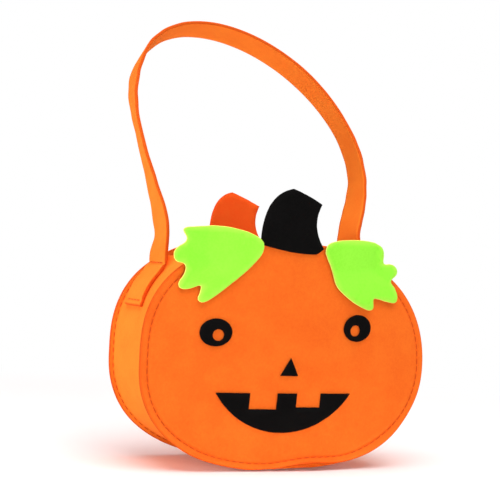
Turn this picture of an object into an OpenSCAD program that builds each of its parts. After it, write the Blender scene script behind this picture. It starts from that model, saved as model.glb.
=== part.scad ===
// Felt treat bag with a jack-o'-lantern face: two bowed panels sewn to a side and bottom gusset,
// cut felt face, leaves and stems, and one strap handle that leans back from the shoulders.
// X runs along the front panel, Y to the back, Z up. The origin is on the floor, under the bag's middle.

/* [Bag] */
// Width of the front and back panels
panel_w = 200; // [180:1:230]
// Height of the panels at the middle of the top edge
panel_h = 146; // [138:1:165]
// Height of the widest point of the panels
widest_z = 69; // [60:1:78]
// Roundness of the panel outline, where 2 is an ellipse
outline_power = 2.4; // [2.2:0.1:2.8]
// Depth over both panels at their seams
bag_d = 65; // [58:1:90]
// How far the free top edge of each panel bows out
top_bow = 17; // [6:1:24]
// Height at which the gusset ends at the shoulders
gusset_top = 129; // [118:1:132]
// Thickness of the felt of the panels, gusset and strap
felt_t = 2; // [1.5:0.1:2.5]
// Width of the raw seam edge outside the gusset wall
lip_w = 5; // [4:0.5:8]
// Depth cut off the round bottom to make the flat that it stands on
base_flat = 1; // [0.6:0.1:2]

/* [Handle] */
// Width of the handle strap
strap_w = 26; // [20:1:30]
// Height of each strap end that is sewn to a shoulder
sewn_h = 25; // [18:1:35]
// How far a sewn end runs back from its lower to its upper edge
sewn_run = 8; // [0:1:10]
// How far below the gusset's end each sewn strap end stops
strap_drop = 3; // [0:0.5:6]
// Height of the loop above its hinge line
loop_h = 180; // [150:1:220]
// Lean of the loop towards the back, in degrees
loop_lean = 28; // [0:1:40]
// How far the left leg bows out beyond its foot
left_bow = 10; // [0:1:20]
// How far the right leg bows out beyond its foot
right_bow = 13; // [0:1:20]
// Height of the left leg's widest point above the hinge line
left_spring = 108; // [60:1:120]
// Height of the right leg's widest point above the hinge line
right_spring = 74; // [60:1:120]
// Sideways place of the top of the loop
loop_top_x = -19; // [-25:1:25]

/* [Face] */
// Thickness of the face felt
face_t = 1.2; // [0.8:0.1:2]
// Sideways place of the face
face_x = -4; // [-10:1:10]
// Distance between the eyes
eye_gap = 98; // [80:1:110]
// Height of the left eye
left_eye_z = 88; // [80:1:100]
// Height of the right eye
right_eye_z = 93; // [80:1:100]
// Width of each eye
eye_w = 21; // [16:0.5:26]
// Height of each eye
eye_h = 17.5; // [14:0.5:22]
// Diameter of the hole in each eye
pupil_d = 8.5; // [5:0.5:10]
// How far the hole sits towards the nose, and as far down
pupil_shift = 1.6; // [0:0.1:2.5]
// Width of the nose
nose_w = 12; // [8:0.5:18]
// Height of the nose
nose_h = 11; // [8:0.5:16]
// Height of the nose's lower edge
nose_z = 61.5; // [56:0.5:68]
// How far the nose sits to the right of the face's middle
nose_shift = 2; // [-4:0.5:4]
// Width of the mouth at its corners
mouth_w = 93; // [70:1:110]
// Drop of the mouth from its corners to its lowest point
mouth_h = 26; // [18:1:34]
// Height of the mouth's straight upper edge
mouth_z = 50; // [44:0.5:54]
// Width of the left tooth gap
left_tooth_w = 19; // [10:0.5:22]
// Width of the right tooth gap
right_tooth_w = 17; // [10:0.5:22]
// Width of black between the tooth gaps
tooth_gap = 13; // [8:0.5:18]
// Depth of the tooth gaps
tooth_h = 9; // [5:0.5:12]
// How far the pair of tooth gaps sits to the right of the face's middle
tooth_shift = 1; // [-4:0.5:4]

/* [Leaves and stems] */
// Thickness of the leaf and stem felt
trim_t = 1.5; // [1:0.1:2]
// Length of the left leaf
left_leaf_l = 50.5; // [45:0.5:65]
// Length of the right leaf
right_leaf_l = 60; // [45:0.5:65]
// Rise of the left leaf's upper edge above its root
left_leaf_rise = 10.5; // [4:0.5:14]
// Rise of the right leaf's upper edge above its root
right_leaf_rise = 6.5; // [4:0.5:14]
// Drop of each leaf below its root
leaf_drop = 35.5; // [28:0.5:45]
// How far the outer side of the right leaf hangs below the left one's
right_leaf_sag = 3; // [0:0.5:6]
// Height of the leaf roots
leaf_z = 143.5; // [136:0.5:150]
// Width of each stem at its foot
stem_w = 43; // [34:1:52]
// Height of each stem
stem_h = 38; // [28:1:48]
// Sideways place of the stem's foot
stem_x = -7; // [-15:1:15]
// How far the stem reaches down over the panel
stem_lap = 4; // [3:0.5:8]

/* [Stitching] */
// Diameter of the sewing thread
thread_d = 0.6; // [0.4:0.1:1]
// Length of one stitch
stitch_l = 3.8; // [2.5:0.1:4.2]
// Distance from one stitch to the next
stitch_pitch = 5; // [4.4:0.1:7]

/* [Hidden] */

// Clearances: layers sewn together, layers glued together, and the loop over its sewn ends
sew_gap = 0.1;
glue_gap = 0.2;
hinge_gap = 0.3;
// Space between the strap's rear edge and the back seam edge
strap_side_gap = 1;
// How much larger the radius of the loop's round feet is than half the strap
foot_ease = 0.5;
// The leaves lie over the seam's stitches
leaf_gap = sew_gap + thread_d + glue_gap;
// Facets around the outline, from its middle to the seam, across the seam edge, along a curve,
// and their size on cut felt
outline_steps = 72;
ring_steps = 6;
lip_steps = 3;
curve_steps = 16;
facet = 6;
// The bow of the panels grows with height by this power
bow_power = 0.8;
thread_sides = 8;

orange = "#FD7021";
deep_orange = "#F5521A";
lime = "#9EF046";
black_felt = "#161414";
thread_orange = "#E8641E";

// Rounded outline of the panels: a superellipse, drawn in by an inset
function signed_pow(v, p) = sign(v) * pow(abs(v), p);
function semi_z(above) = above ? panel_h - widest_z : widest_z + base_flat;
function outline_at(a, inset = 0) =
    [(panel_w / 2 - inset) * signed_pow(cos(a), 2 / outline_power),
     widest_z + (semi_z(sin(a) >= 0) - inset) * signed_pow(sin(a), 2 / outline_power)];
function half_width(z, inset = 0) =
    let (share = min(1, abs(z - widest_z) / (semi_z(z >= widest_z) - inset)))
    (panel_w / 2 - inset) * pow(1 - pow(share, outline_power), 1 / outline_power);
// Angle, between 0 and 90, at which the outline reaches a height above its widest point
function angle_at(z, inset = 0) =
    asin(pow((z - widest_z) / (semi_z(true) - inset), outline_power / 2));

// Outward bow of a panel: none along the seam, most at the middle of the free top edge
function bow(x, z) =
    let (reach = max(1, half_width(min(z, gusset_top), lip_w)),
         rise = max(0, (z - lip_w) / (panel_h - lip_w)))
    top_bow * pow(rise, bow_power) * max(0, 1 - pow(x / reach, 2));

// Strap layout: the sewn ends lie on the gusset wall and turn upright at the fold
strap_in = lip_w - sew_gap;
strap_out = strap_in - felt_t;
strap_top = gusset_top - strap_drop;
fold_z = strap_top - 1.5 * felt_t;
fold_x = half_width(fold_z, strap_in);
foot_x = fold_x + felt_t / 2;
sewn_low_z = strap_top - sewn_h;
strap_y = bag_d / 2 - 2 * felt_t - sew_gap - strap_side_gap - strap_w / 2;
foot_r = strap_w / 2 + foot_ease;
hinge_z = strap_top + hinge_gap + foot_r;

// Quadratic curve between two points, without its end point
function curve(a, c, b) =
    [for (i = [0 : curve_steps - 1]) let (t = i / curve_steps)
        (1 - t) * (1 - t) * a + 2 * t * (1 - t) * c + t * t * b];

// Rounded closed outline: the middle of each side joined by curves that bend at the corners
function rounded(p) =
    [for (i = [0 : len(p) - 1])
        let (before = p[(i + len(p) - 1) % len(p)], after = p[(i + 1) % len(p)])
        each [for (k = [0 : 3]) let (t = k / 4)
            (1 - t) * (1 - t) * (before + p[i]) / 2 + 2 * t * (1 - t) * p[i] + t * t * (p[i] + after) / 2]];

// Triangles over a grid of quads, wound for an outer sheet, or turned over for an inner one
function quad(a, b, c, d, over) = over ? [[a, c, b], [a, d, c]] : [[a, b, c], [a, c, d]];

// One bowed panel, facing the front
module panel_sheet() {
    rings = ring_steps + lip_steps;
    count = 1 + rings * outline_steps;
    middle = [0, widest_z];
    flat = [middle, for (r = [1 : rings], i = [0 : outline_steps - 1])
        let (a = 360 * i / outline_steps, edge = outline_at(a), seam = outline_at(a, lip_w),
             p = r > ring_steps ? seam + (edge - seam) * (r - ring_steps) / lip_steps
                                : middle + (seam - middle) * r / ring_steps)
        [p.x, max(0, p.y)]];
    points = [for (depth = [0, felt_t], p = flat) [p.x, depth - bag_d / 2 - bow(p.x, p.y), p.y]];
    function at(layer, r, i) = layer * count + 1 + (r - 1) * outline_steps + i % outline_steps;
    faces = [for (i = [0 : outline_steps - 1]) each concat(
        [[0, at(0, 1, i + 1), at(0, 1, i)], [count, at(1, 1, i), at(1, 1, i + 1)]],
        [for (layer = [0, 1], r = [1 : rings - 1])
            each quad(at(layer, r, i), at(layer, r, i + 1), at(layer, r + 1, i + 1), at(layer, r + 1, i),
                      layer == 1)],
        quad(at(0, rings, i), at(0, rings, i + 1), at(1, rings, i + 1), at(1, rings, i), false))];
    polyhedron(points, faces);
}

// A slab that follows the front panel between two distances from its face
module bowed_slab(low, high, near, far) {
    nx = ceil((high.x - low.x) / facet);
    nz = ceil((high.y - low.y) / facet);
    count = (nx + 1) * (nz + 1);
    points = [for (depth = [far, near], k = [0 : nz], i = [0 : nx])
        let (x = low.x + (high.x - low.x) * i / nx, z = low.y + (high.y - low.y) * k / nz)
        [x, -bag_d / 2 - bow(x, z) - depth, z]];
    function at(layer, i, k) = layer * count + k * (nx + 1) + i;
    function side(i, k, j, m) = quad(at(0, i, k), at(0, j, m), at(1, j, m), at(1, i, k), false);
    faces = [
        for (layer = [0, 1], i = [0 : nx - 1], k = [0 : nz - 1])
            each quad(at(layer, i, k), at(layer, i, k + 1), at(layer, i + 1, k + 1), at(layer, i + 1, k),
                      layer == 1),
        for (i = [0 : nx - 1]) each concat(side(i, 0, i + 1, 0), side(i + 1, nz, i, nz)),
        for (k = [0 : nz - 1]) each concat(side(nx, k, nx, k + 1), side(0, k + 1, 0, k))];
    polyhedron(points, faces);
}

// An outline drawn in X and Z, cut from felt that lies on the front panel
module on_front(points, thick, gap = glue_gap, hole = [], cuts = []) {
    x = [for (p = points) p.x];
    z = [for (p = points) p.y];
    margin = facet / 3;
    intersection() {
        rotate([90, 0, 0]) linear_extrude(bag_d / 2 + 2 * top_bow + 10 * thick) difference() {
            polygon(points);
            if (len(hole) > 0) polygon(hole);
            for (c = cuts) translate(c[0]) square(c[1]);
        }
        bowed_slab([min(x) - margin, min(z) - margin], [max(x) + margin, max(z) + margin],
                   gap, gap + thick);
    }
}

module front_panel() {
    color(orange) panel_sheet();
}

module back_panel() {
    color(orange) mirror([0, 1, 0]) panel_sheet();
}

// The outline between two insets, as far up as the gusset goes
module gusset_ring(inset, depth) {
    rotate([90, 0, 0]) linear_extrude(depth, center = true) difference() {
        polygon([for (i = [0 : 2 * outline_steps - 1]) outline_at(180 * i / outline_steps, inset)]);
        polygon([for (i = [0 : 2 * outline_steps - 1])
            outline_at(180 * i / outline_steps, lip_w + felt_t)]);
        translate([-panel_w, gusset_top]) square([2 * panel_w, panel_h]);
        translate([-panel_w, -panel_h]) square([2 * panel_w, panel_h]);
    }
}

// Side and bottom strip, with both long edges turned out against the panels
module gusset() {
    wall_d = bag_d - 2 * felt_t - 2 * sew_gap;
    color(orange) union() {
        gusset_ring(lip_w, wall_d);
        for (side = [-1, 1])
            translate([0, side * (wall_d - felt_t) / 2, 0]) gusset_ring(0, felt_t);
    }
}

// Right strap end: lies on the shoulder of the gusset, then turns upright under the loop's foot
module strap_end() {
    low = angle_at(sewn_low_z, strap_in);
    fold = angle_at(fold_z, strap_in);
    angles = [for (i = [0 : curve_steps]) low + (fold - low) * i / curve_steps];
    inner = [for (a = angles) outline_at(a, strap_in)];
    outer = [for (i = [curve_steps : -1 : 0]) let (p = outline_at(angles[i], strap_out))
        if (p.x > fold_x + felt_t) p];
    profile = concat(inner, [[fold_x, strap_top], [fold_x + felt_t, strap_top]], outer);
    slope = sewn_run / sewn_h;
    under = felt_t + sewn_h;
    intersection() {
        translate([0, strap_y, 0]) rotate([90, 0, 0])
            linear_extrude(2 * (strap_w + sewn_run), center = true) polygon(profile);
        translate([0, strap_y, strap_top]) rotate([90, 0, 90]) linear_extrude(panel_w)
            polygon([[-strap_w / 2, 0], [strap_w / 2, 0],
                     [strap_w / 2 - slope * under, -under], [-strap_w / 2 - slope * under, -under]]);
    }
}

module right_strap_end() {
    color(orange) strap_end();
}

module left_strap_end() {
    color(orange) mirror([1, 0, 0]) strap_end();
}

// Middle line of the loop in its own plane: two legs that bow out, and an arch of two unlike halves
function ease(t) = t * t * (3 - 2 * t);
function leg(bow_out, spring, t) = [foot_x + bow_out * ease(t), spring * t];
function arch(reach, spring, power, a) =
    [reach * pow(cos(a), 2 / power), spring + (loop_h - spring) * pow(sin(a), 2 / power)];
left_power = 2.15;
right_power = 1.85;
function mirrored(p) = [-p.x, p.y];
loop_line = concat(
    [[-foot_x, -strap_w]],
    [for (i = [0 : curve_steps - 1]) mirrored(leg(left_bow, left_spring, i / curve_steps))],
    [for (i = [0 : curve_steps]) let (reach = foot_x + left_bow + loop_top_x)
        [loop_top_x, 0] + mirrored(arch(reach, left_spring, left_power, 90 * i / curve_steps))],
    [for (i = [curve_steps - 1 : -1 : 0]) let (reach = foot_x + right_bow - loop_top_x)
        [loop_top_x, 0] + arch(reach, right_spring, right_power, 90 * i / curve_steps)],
    [for (i = [curve_steps - 1 : -1 : 0]) leg(right_bow, right_spring, i / curve_steps)],
    [[foot_x, -strap_w]]);

// A strip of even thickness along a line
function square_to(d) = [-d.y, d.x] / norm(d);
function strip(line, thick) =
    let (last = len(line) - 1,
         across = [for (i = [0 : last])
             square_to(line[min(last, i + 1)] - line[max(0, i - 1)]) * thick / 2])
    concat([for (i = [0 : last]) line[i] + across[i]], [for (i = [last : -1 : 0]) line[i] - across[i]]);

// The loop, with feet rounded about the hinge line so that they turn over the sewn ends
module handle_loop() {
    color(orange) translate([0, strap_y, hinge_z]) rotate([-loop_lean, 0, 0]) difference() {
        rotate([90, 0, 0]) linear_extrude(strap_w, center = true) polygon(strip(loop_line, felt_t));
        for (side = [-1, 1]) translate([side * foot_x, 0, 0]) difference() {
            translate([-2 * felt_t, -strap_w, -2 * strap_w]) cube([4 * felt_t, 2 * strap_w, 2 * strap_w]);
            rotate([0, 90, 0]) cylinder(r = foot_r, h = 6 * felt_t, center = true, $fn = 64);
        }
    }
}

// Stem outline: round back, sloping tip, hollow front and a foot that laps over the panel
stem_foot_z = panel_h - stem_lap;
stem_outline =
    let (left = stem_x - stem_w / 2, right = stem_x + stem_w / 2, z = stem_foot_z, top = z + stem_h,
         heel = [left, z + 0.06 * stem_h], crown = [left + 0.42 * stem_w, top],
         beak = [left + 0.9 * stem_w, z + 0.77 * stem_h], toe = [right, z])
    concat(curve(heel, [left - 0.02 * stem_w, z + 0.9 * stem_h], crown),
           curve(crown, [left + 0.66 * stem_w, z + 0.91 * stem_h], beak),
           curve(beak, [left + 0.73 * stem_w, z + 0.4 * stem_h], toe),
           curve(toe, [left + 0.55 * stem_w, z - 0.13 * stem_h], heel));

module front_stem() {
    color(black_felt) on_front(stem_outline, trim_t);
}

module back_stem() {
    color(deep_orange) mirror([0, 1, 0]) on_front(stem_outline, trim_t);
}

// Leaf outline from its root outwards, in shares of its length, rise and drop, with four lobes
leaf_shape = [[0, 0], [0, 0], [0.14, 0.87], [0.42, 1], [0.74, 0.95], [0.97, 0.85], [0.86, 0.1],
    [1.01, -0.08], [1.05, -0.3], [0.93, -0.42], [0.86, -0.5], [0.95, -0.6], [0.99, -0.8], [0.88, -0.9],
    [0.72, -0.74], [0.76, -0.98], [0.7, -1.1], [0.4, -0.84], [0.1, -0.4]];
function leaf_outline(side, length, rise, sag) =
    let (root = stem_x + side * stem_w / 2,
         sized = [for (p = leaf_shape)
             [root + side * p.x * length, leaf_z - sag * p.x + p.y * (p.y > 0 ? rise : leaf_drop)]])
    rounded(sized);

module left_leaf() {
    color(lime) on_front(leaf_outline(-1, left_leaf_l, left_leaf_rise, 0), trim_t, leaf_gap);
}

module right_leaf() {
    color(lime) on_front(leaf_outline(1, right_leaf_l, right_leaf_rise, right_leaf_sag), trim_t, leaf_gap);
}

// Eye: an ellipse with a round hole that looks in and down
function ellipse(c, w, h) =
    [for (i = [0 : 2 * curve_steps - 1]) let (a = 180 * i / curve_steps)
        c + [w / 2 * cos(a), h / 2 * sin(a)]];
module eye(side, z) {
    middle = [face_x + side * eye_gap / 2, z];
    look = middle - [side, 1] * pupil_shift;
    color(black_felt)
        on_front(ellipse(middle, eye_w, eye_h), face_t, hole = ellipse(look, pupil_d, pupil_d));
}

module left_eye() {
    eye(-1, left_eye_z);
}

module right_eye() {
    eye(1, right_eye_z);
}

module nose() {
    x = face_x + nose_shift;
    tip = [face_x + nose_w / 8, nose_z + nose_h];
    color(black_felt) on_front([[x - nose_w / 2, nose_z], [x + nose_w / 2, nose_z], tip], face_t);
}

// Mouth: a segment of a circle below a straight edge, with two tooth gaps cut in that edge
module mouth() {
    radius = (pow(mouth_w / 2, 2) + pow(mouth_h, 2)) / (2 * mouth_h);
    half = asin(mouth_w / 2 / radius);
    arc = [for (i = [-curve_steps : curve_steps]) let (a = half * i / curve_steps)
        [face_x + radius * sin(a), mouth_z - mouth_h + radius * (1 - cos(a))]];
    x = face_x + tooth_shift;
    color(black_felt) on_front(arc, face_t, cuts = [
        [[x - tooth_gap / 2 - left_tooth_w, mouth_z - tooth_h], [left_tooth_w, 2 * tooth_h]],
        [[x + tooth_gap / 2, mouth_z - tooth_h], [right_tooth_w, 2 * tooth_h]]]);
}

// One stitch lying along X
module stitch() {
    rotate([0, 90, 0]) rotate(180 / thread_sides)
        cylinder(d = thread_d, h = stitch_l, center = true, $fn = thread_sides);
}

// Row of stitches around the front seam, spaced by length along it, to a pitch below the gusset's ends
module seam_thread() {
    inset = lip_w - 2 * thread_d;
    top = angle_at(gusset_top - stitch_pitch, inset);
    steps = 2 * outline_steps;
    angles = [for (i = [0 : steps]) 180 - top + (180 + 2 * top) * i / steps];
    line = [for (a = angles) outline_at(a, inset)];
    run = [for (i = 0, s = 0; i <= steps;
                s = s + (i < steps ? norm(line[i + 1] - line[i]) : 0), i = i + 1) s];
    to_angle = [for (i = [0 : steps]) [run[i], angles[i]]];
    count = floor(run[steps] / stitch_pitch);
    for (i = [0 : count - 1]) {
        a = lookup(run[steps] * (i + 0.5) / count, to_angle);
        p = outline_at(a, inset);
        d = outline_at(a + 0.5, inset) - outline_at(a - 0.5, inset);
        translate([p.x, -bag_d / 2 - thread_d / 2 - sew_gap, p.y]) rotate([0, -atan2(d.y, d.x), 0]) stitch();
    }
}

module front_seam_thread() {
    color(thread_orange) seam_thread();
}

module back_seam_thread() {
    color(thread_orange) mirror([0, 1, 0]) seam_thread();
}

// Two rows of stitches across the right strap end, near its lower edge and near the fold
module strap_thread() {
    count = floor((strap_w - stitch_l / 2) / stitch_pitch);
    for (z = [sewn_low_z + 2 * felt_t, fold_z - 2 * felt_t]) {
        a = angle_at(z, strap_out);
        p = outline_at(a, strap_out - thread_d / 2 - sew_gap);
        y = strap_y - (strap_top - p.y) * sewn_run / sewn_h;
        for (i = [0 : count - 1])
            translate([p.x, y + (i - (count - 1) / 2) * stitch_pitch, p.y]) rotate([0, 0, 90]) stitch();
    }
}

module right_strap_thread() {
    color(thread_orange) strap_thread();
}

module left_strap_thread() {
    color(thread_orange) mirror([1, 0, 0]) strap_thread();
}

front_panel();
back_panel();
gusset();
left_strap_end();
right_strap_end();
handle_loop();
front_stem();
back_stem();
left_leaf();
right_leaf();
left_eye();
right_eye();
nose();
mouth();
front_seam_thread();
back_seam_thread();
left_strap_thread();
right_strap_thread();
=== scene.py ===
import bmesh
import bpy
import math
from bisect import bisect
from mathutils import Matrix, Vector, noise
from mathutils.geometry import delaunay_2d_cdt


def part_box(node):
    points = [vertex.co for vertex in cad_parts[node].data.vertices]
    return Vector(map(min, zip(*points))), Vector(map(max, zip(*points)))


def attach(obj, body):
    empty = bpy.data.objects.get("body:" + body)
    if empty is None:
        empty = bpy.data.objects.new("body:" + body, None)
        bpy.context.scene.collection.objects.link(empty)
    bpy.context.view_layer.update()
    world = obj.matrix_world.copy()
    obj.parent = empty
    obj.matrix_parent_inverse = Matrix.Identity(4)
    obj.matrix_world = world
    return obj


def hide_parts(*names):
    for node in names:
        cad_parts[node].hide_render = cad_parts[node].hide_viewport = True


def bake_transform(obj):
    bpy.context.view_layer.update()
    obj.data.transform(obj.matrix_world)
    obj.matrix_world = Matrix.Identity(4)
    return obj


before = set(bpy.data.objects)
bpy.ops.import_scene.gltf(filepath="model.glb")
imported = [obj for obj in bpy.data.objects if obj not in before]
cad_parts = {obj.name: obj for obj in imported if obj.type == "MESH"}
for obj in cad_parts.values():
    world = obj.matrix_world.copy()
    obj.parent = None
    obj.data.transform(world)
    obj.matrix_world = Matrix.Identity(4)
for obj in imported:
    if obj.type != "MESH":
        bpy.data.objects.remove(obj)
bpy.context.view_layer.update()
scene = bpy.context.scene
mm = 0.001  # sizes below are in millimetres
print("frame loaded with", len(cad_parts), "nodes")


# Small maths

def clamp(v, low=0.0, high=1.0):
    return max(low, min(high, v))


def ease(t):
    t = clamp(t)
    return t * t * (3 - 2 * t)


def ramp(v, gain, start):  # eased from 0 to 1 as v rises
    return ease(v * gain - start)


def mix(a, b, t):
    return a + (b - a) * t


def signedPow(v, p):
    return math.copysign(abs(v) ** p, v)


def wobble(x, y, z, seed=0.0):  # smooth noise between about -1 and 1
    return noise.noise(Vector((x + 17.3 * seed, y - 9.1 * seed, z + 5.7 * seed)))


# The bag's shape, read from the frame where a node gives it

def farCorner(node):  # highest corner of a node's box, in millimetres
    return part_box(node)[1] / mm


panelHigh = farCorner("front_panel")
gussetHigh = farCorner("gusset")
bag = {
    "halfWidth": panelHigh.x - 0.5,  # the sewn felt draws in a little
    "height": panelHigh.z,
    "widestZ": 69.0,
    "power": 2.4,  # roundness of the upper outline, 2 is an ellipse
    "lean": (0.07, 0.05), "leanSoft": 15.0,  # it leans to the left towards its top and its bottom
    "baseFlat": 1.0,  # the round bottom is cut off this far up
    "standShare": 0.8,  # share of its inset at which a row stays above the floor
    "felt": 2.0,
    "seamGap": 0.1,
    "gussetTop": gussetHigh.z,
    "sewnTop": gussetHigh.z + 5.0,  # the strip's end and its stitches, behind the leaves
    "seamY": gussetHigh.y + 2.1,  # outer face of a panel at its seam
    "topBow": 17.0,
    "bowPower": 0.8,
    "ripple": 0.35,  # gentle unevenness of the panels, of two sizes
    "rippleBroad": (52.0, 40.0), "rippleFine": (19.0, 23.0), "fineShare": 0.45, "rippleFade": 0.16,
    "bell": 2.6, "bellTop": 34.0,  # the front spreads forward below this height
    "rise": 1.0, "riseTop": 12.0,  # its lower edge clears the floor, and buckles up at one place
    "lift": 3.4, "liftTop": 28.0, "liftFade": 22.0, "buckleX": 17.0, "buckleWidth": 20.0,
}
# The raw edge outside a seam: slow and quick waves, a flare along the bottom, and the degrees that it turns
# out below its stitches, with more where the front one buckles
rawEdge = {
    "wave": 0.9, "wavePower": 1.4, "slowShare": 0.6, "slowSize": 2.2, "quickShare": 0.75, "quickWaves": 9.0,
    "flare": 1.3, "flarePower": 1.2, "flareAtSides": 0.25,
    "turn": 16.0, "buckleTurn": 46.0, "turnReach": 1.5,
    "lowRamp": (1.2, 0.0), "turnRamp": (1.6, 0.5), "buckleRamp": (4.0, 2.6),  # how these grow downwards
}
# Each seam: its side, the raw edge's width outside the gusset wall, where its stitches run, and its own
# outline below
frontSeam = {"side": -1, "seed": 1.0, "lip": 5.4, "stitch": 4.3, "lowPower": 2.3, "shift": 1.1}
backSeam = {"side": 1, "seed": 2.6, "lip": 2.8, "stitch": 2.0, "lowPower": 2.2, "shift": 0.2}
upperSemi = bag["height"] - bag["widestZ"]
lowerSemi = bag["widestZ"] + bag["baseFlat"]
wallHalf = bag["seamY"] - 2 * bag["felt"] - bag["seamGap"]  # half the gusset between its turned-out edges


def seamValue(key, y):  # a seam's value, carried over the gusset from front to back
    return mix(frontSeam[key], backSeam[key], clamp((y + wallHalf) / (2 * wallHalf)))


def askewAt(up, y):  # how far the bag stands to the right, up from its widest
    return seamValue("shift", y) - bag["lean"][0 if up > 0 else 1] * up ** 2 / (abs(up) + bag["leanSoft"])


def outlineAt(a, inset, y):  # x and z of the outline at an angle, drawn in by the inset
    c, s = math.cos(a), math.sin(a)
    semi, power = (upperSemi, bag["power"]) if s >= 0 else (lowerSemi, seamValue("lowPower", y))
    x = (bag["halfWidth"] - inset) * signedPow(c, 2 / power)
    up = (semi - inset) * signedPow(s, 2 / power)
    return x + askewAt(up, y), max(bag["widestZ"] + up, bag["standShare"] * inset)


def halfWidthAt(z, inset):
    semi = upperSemi if z >= bag["widestZ"] else lowerSemi
    share = min(1.0, abs(z - bag["widestZ"]) / (semi - inset))
    return (bag["halfWidth"] - inset) * (1 - share ** bag["power"]) ** (1 / bag["power"])


def angleAt(z, inset):  # the outline's angle at a height above its widest
    return math.asin(((z - bag["widestZ"]) / (upperSemi - inset)) ** (bag["power"] / 2))


def bowAt(x, z, seam):  # a panel bows out most at the middle of its open top
    lip = seam["lip"]
    reach = max(1.0, halfWidthAt(min(z, bag["gussetTop"]), lip))
    rise = max(0.0, (z - lip) / (bag["height"] - lip))
    return bag["topBow"] * rise ** bag["bowPower"] * max(0.0, 1 - (x / reach) ** 2)


def insideSeam(x, z, lip):  # 1 well inside the seam line, 0 on it and outside
    semi = (upperSemi if z >= bag["widestZ"] else lowerSemi) - lip
    p = bag["power"]
    r = (abs(x / (bag["halfWidth"] - lip)) ** p + abs((z - bag["widestZ"]) / semi) ** p) ** (1 / p)
    return ease((1 - r) / bag["rippleFade"])


def bellAt(z, seam):  # how far the front spreads forward at its foot
    return bag["bell"] * clamp(1 - z / bag["bellTop"]) ** 2 if seam is frontSeam else 0.0


def panelFace(x, z, seam):  # how far a panel's outer face stands from the bag's middle
    seed, broad, fine = seam["seed"], bag["rippleBroad"], bag["rippleFine"]
    soft = wobble(x / broad[0], seed, z / broad[1], seed)
    soft += bag["fineShare"] * wobble(x / fine[0], z / fine[1], seed, seed)
    shape = bowAt(x, z, seam) + bellAt(z, seam)
    return bag["seamY"] + shape + bag["ripple"] * soft * insideSeam(x, z, seam["lip"])


def lipWaveAt(a, inset, seam):  # the raw edge waves most along the bottom
    out, seed = clamp(1 - inset / seam["lip"]), seam["seed"]
    c, s = math.cos(a), math.sin(a)
    low, size = ramp(-s, *rawEdge["lowRamp"]), rawEdge["slowSize"]
    slow = rawEdge["slowShare"] * wobble(size * c, size * s, seed, seed)
    quick = rawEdge["quickShare"] * low * math.sin(rawEdge["quickWaves"] * a + 2 * seed)
    wave = rawEdge["wave"] * out ** rawEdge["wavePower"] * (slow + quick)
    return wave + rawEdge["flare"] * out ** rawEdge["flarePower"] * mix(rawEdge["flareAtSides"], 1.0, low)


def buckleAt(x):  # 1 where the front's lower edge buckles, 0 well beside it
    return math.exp(-((x - bag["buckleX"]) / bag["buckleWidth"]) ** 2)


def frontLiftAt(x, z, buckled=1.0, raised=1.0):  # how far the front's lower edge stands off the floor
    lift = bag["lift"] * buckleAt(x) * ease((bag["liftTop"] - z) / bag["liftFade"])
    rise = bag["rise"] * ease((bag["riseTop"] - z) / bag["riseTop"])
    return buckled * lift + raised * rise


def turnLip(a, inset, depth, seam, buckled=1.0):
    # The raw edge turned out from its stitches: its new inset, and how far out it stands
    free = seam["stitch"] - inset
    if free <= 0:
        return inset, 0.0
    down = -math.sin(a)
    turn = rawEdge["turn"] * ramp(down, *rawEdge["turnRamp"])
    if seam is frontSeam and down > 0:
        x = outlineAt(a, inset, -wallHalf)[0]
        turn += buckled * rawEdge["buckleTurn"] * buckleAt(x) * ramp(down, *rawEdge["buckleRamp"])
    turn = math.radians(turn) * ease(free / rawEdge["turnReach"])
    thick = depth * bag["felt"]
    newInset = seam["stitch"] - free * math.cos(turn) - thick * math.sin(turn)
    return newInset, free * math.sin(turn) + thick * (1 - math.cos(turn))


def wallInsetAt(y):  # the wall runs out a little towards the narrower back edge
    return seamValue("lip", y)


# Meshes

def addPiece(name, points, faces, material, body="bag", replaced=(), cutEdge=None):
    mesh = bpy.data.meshes.new(name)
    mesh.from_pydata([(x * mm, y * mm, z * mm) for x, y, z in points], [], faces)
    if cutEdge:
        mesh.attributes.new("cutEdge", "FLOAT", "POINT").data.foreach_set("value", cutEdge)
    work = bmesh.new()
    work.from_mesh(mesh)
    bmesh.ops.recalc_face_normals(work, faces=work.faces)
    work.to_mesh(mesh)
    work.free()
    mesh.polygons.foreach_set("use_smooth", [True] * len(mesh.polygons))
    mesh.materials.append(material)
    piece = bpy.data.objects.new(name, mesh)
    scene.collection.objects.link(piece)
    if replaced:
        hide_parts(*replaced)
    if body:
        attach(piece, body)
    return piece


def ringFaces(first, second):  # quads between two closed rows of vertex numbers
    n = len(first)
    return [(first[i], first[(i + 1) % n], second[(i + 1) % n], second[i]) for i in range(n)]


def sweep(rings):  # a closed section carried along a line, with ladder-filled ends
    points = [p for ring in rings for p in ring]
    n = len(rings[0])
    rows = [list(range(k * n, (k + 1) * n)) for k in range(len(rings))]
    faces = [f for a, b in zip(rows, rows[1:]) for f in ringFaces(a, b)]
    for row in (rows[0], rows[-1]):
        faces += [(row[i], row[i + 1], row[n - 2 - i], row[n - 1 - i]) for i in range(n // 2 - 1)]
    return points, faces


# How the small pieces are cut out, with a slightly uneven, rounded edge
cutting = {
    "rounding": (0.0, 0.13, 0.42),  # how far the rim draws in, from its middle to the face
    "rim": ((1, 0.8), (0, 0.5), (1, 0.2)),  # which of those, and the share of the thickness, around the edge
    "besideRim": 0.2,  # share of the cut edge's colour on the face beside it: painted shade on the orange felt, a painted highlight on the lime felt
    "fray": 0.12, "fraySize": 2.6, "sharpest": 0.4,
    "spacing": 3.0, "rowRise": 0.87, "clear": 0.55,  # vertices within: apart, row to row, and off the rim
}


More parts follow.
